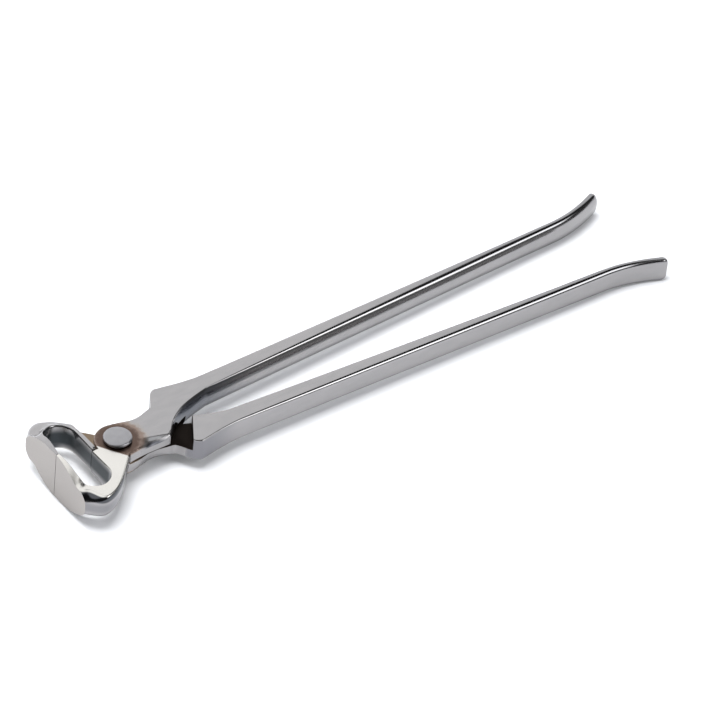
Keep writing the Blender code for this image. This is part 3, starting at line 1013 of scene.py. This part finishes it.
def forged_finish(name, side):
    finish, start, shader = blank_finish(name)
    place = start.node("ShaderNodeTexCoord", output=3)
    cloud = noise(place, (90, 260, 260), 3.0)
    scratch = noise(place, (160, 4200, 4200), 2.0)
    grind = noise(place, (900, 3600, 130), 2.0)
    masks = forging_masks(place, side)
    colour = mixed(cloud.ramp(0.3, 0.75), BRIGHT_STEEL, CLOUDED_STEEL)
    for mask, tint in LAYERS:
        colour = mixed(masks[mask], colour, tint)
    plug(shader, "Base Color", colour)
    roughness = 0.10 + cloud * 0.06 + scratch * 0.04
    for mask, more in ROUGHER:
        roughness = roughness + masks[mask] * more
    plug(shader, "Roughness", roughness)
    plug_relief(shader, scratch * (0.05 - masks["jaw top finish and highlight"] * 0.02) + masks["ground face"] * (grind * 1.2))
    return finish


def dress(piece, finish, body, node):
    piece.data.materials.clear()
    piece.data.materials.append(finish)
    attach(piece, body)
    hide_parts(node)


dress(upper_forging, forged_finish("upper_polish", 1), "upper_half", "upper_lever")
dress(lower_forging, forged_finish("lower_polish", -1), "lower_half", "lower_lever")
print("forgings dressed")

# %% [markdown]
# ## Ground rivet
#
# The rivet's face was dressed on a fine wheel, so it is duller than the levers, with fine scratches that
# run one way across it.

# %% Rivet finish
BRIGHT_RIVET = (0.345, 0.34, 0.35, 1)
CLOUDED_RIVET = (0.32, 0.315, 0.325, 1)


def rivet_finish():
    finish, start, shader = blank_finish("ground_rivet")
    place = start.node("ShaderNodeTexCoord", output=3)
    cloud = noise(place, (300, 300, 300), 3.0)
    scratch = noise(place, (3000, 500, 3000), 2.0)
    plug(shader, "Base Color", mixed(cloud.ramp(0.3, 0.7), BRIGHT_RIVET, CLOUDED_RIVET))
    plug(shader, "Roughness", 0.3 + cloud * 0.12)
    plug_relief(shader, scratch)
    return finish


dress(set_rivet, rivet_finish(), "lower_half", "pivot_rivet")
print("rivet dressed")

# %% [markdown]
# ## The table
#
# The nipper rests on three points: the bottom of its face and its two rein tips. The white table passes
# just below them, so it leans by a little over a degree against the lap plane. It takes the soft shadow,
# and a faint glow that only the camera sees lifts it to the white of the photograph.

# %% Lay the table
TABLE_SIZE = 8.0
TABLE_GAP = 0.1 * MM
TABLE_COLOUR = (0.79, 0.80, 0.825, 1)
TABLE_GLOW = 0.10
WHITE = (1, 1, 1, 1)

rest_low = lap_level - face_half_height
tip_low = lap_level - REIN_END_HEIGHT / 2
lean = math.atan2(tip_low - rest_low, rein_reach + face_reach)
bpy.ops.mesh.primitive_plane_add(size=TABLE_SIZE)
table = bpy.context.object
table.name = "white_table"
table.rotation_euler.y = -lean
table.location = (EDGE_LAND - face_reach, 0, rest_low - TABLE_GAP)


def table_finish():
    finish = bpy.data.materials.new("white_paper")
    finish.use_nodes = True
    tree = finish.node_tree
    tree.nodes.clear()
    start = Wire(tree)
    paper = start.node("ShaderNodeBsdfDiffuse", None, {"Color": TABLE_COLOUR})
    seen = start.node("ShaderNodeLightPath", output="Is Camera Ray")
    glow = start.node("ShaderNodeEmission", None, {"Color": WHITE, "Strength": seen * TABLE_GLOW})
    both = start.node("ShaderNodeAddShader", None, {0: paper, 1: glow})
    output = tree.nodes.new("ShaderNodeOutputMaterial")
    tree.links.new(both.socket, output.inputs["Surface"])
    return finish


table.data.materials.append(table_finish())
print("table leans", round(math.degrees(lean), 2), "degrees")

# %% [markdown]
# ## The studio
#
# Polished steel shows the room more than itself. The room here is a paper tent in three slices, left,
# middle and right. The stops of each slice run from the back horizon over the roof to the front horizon: a
# bright wall, a dark gap where the tent opens, and a dim end. The middle slice also has a bright strip in
# front of the gap. On a rounded edge the gap draws a black line and the strip a white one. The camera
# itself sees plain white.

# %% Hang the tent
LEFT_STOPS = ((0.00, 1.36), (0.30, 1.3), (0.56, 1.2), (0.61, 0.05), (0.94, 0.05), (1.00, 0.4))
MIDDLE_STOPS = ((0.00, 1.36), (0.20, 1.36), (0.29, 1.26), (0.35, 1.15), (0.38, 0.025), (0.655, 0.025),
                (0.675, 3.8), (0.835, 3.8), (0.86, 0.08), (1.00, 0.32))
RIGHT_STOPS = ((0.00, 1.36), (0.30, 1.3), (0.36, 1.1), (0.41, 0.03), (0.90, 0.05), (1.00, 0.2))
LEFT_SEAM = (0.16, 0.32)
RIGHT_SEAM = (0.6, 0.75)
PAPER_TINT = (1, 1.01, 1.03)


def tent_ramp(start, turn, stops):
    ramp = start.node("ShaderNodeValToRGB", None, {0: turn})
    marks = ramp.socket.node.color_ramp.elements
    while len(marks) < len(stops):
        marks.new(0.5)
    for mark, (place, grey) in zip(marks, stops):
        mark.position = place
        mark.color = [grey * tint for tint in PAPER_TINT] + [1]
    return ramp


def hang_tent():
    world = bpy.data.worlds.new("paper_tent")
    bpy.context.scene.world = world
    world.use_nodes = True
    tree = world.node_tree
    tree.nodes.clear()
    start = Wire(tree)
    x, y, z = split(start.node("ShaderNodeTexCoord", output=0))
    turn = y.sum("ARCTAN2", y * -1.0, z) / math.pi + 0.5
    left, middle, right = [tent_ramp(start, turn, stops) for stops in (LEFT_STOPS, MIDDLE_STOPS, RIGHT_STOPS)]
    room = mixed(x.ramp(*LEFT_SEAM), left, middle)
    room = mixed(x.ramp(*RIGHT_SEAM), room, right)
    seen = start.node("ShaderNodeLightPath", output="Is Camera Ray")
    sky = start.node("ShaderNodeBackground", None, {"Color": mixed(seen, room, WHITE), "Strength": 1.0})
    output = tree.nodes.new("ShaderNodeOutputWorld")
    tree.links.new(sky.socket, output.inputs["Surface"])


hang_tent()
bpy.context.scene.view_settings.view_transform = "Standard"
print("tent hung")

# %% [markdown]
# One soft box overhead lights the table and casts the shadow under the tool. It is left out of
# reflections, because the tent alone draws those.

# %% Hang the soft box
BOX_PLACE = (-0.08, 0.18, 1.35)
BOX_AIM = Vector((0.12, 0, 0))
BOX_SIZE = 0.8
BOX_POWER = 20

bpy.ops.object.light_add(type="AREA", location=BOX_PLACE)
key = bpy.context.object
key.name = "top_softbox"
key.data.size = BOX_SIZE
key.data.energy = BOX_POWER
key.visible_glossy = False
key.rotation_euler = (BOX_AIM - key.location).to_track_quat("-Z", "Y").to_euler()
print("soft box hung")
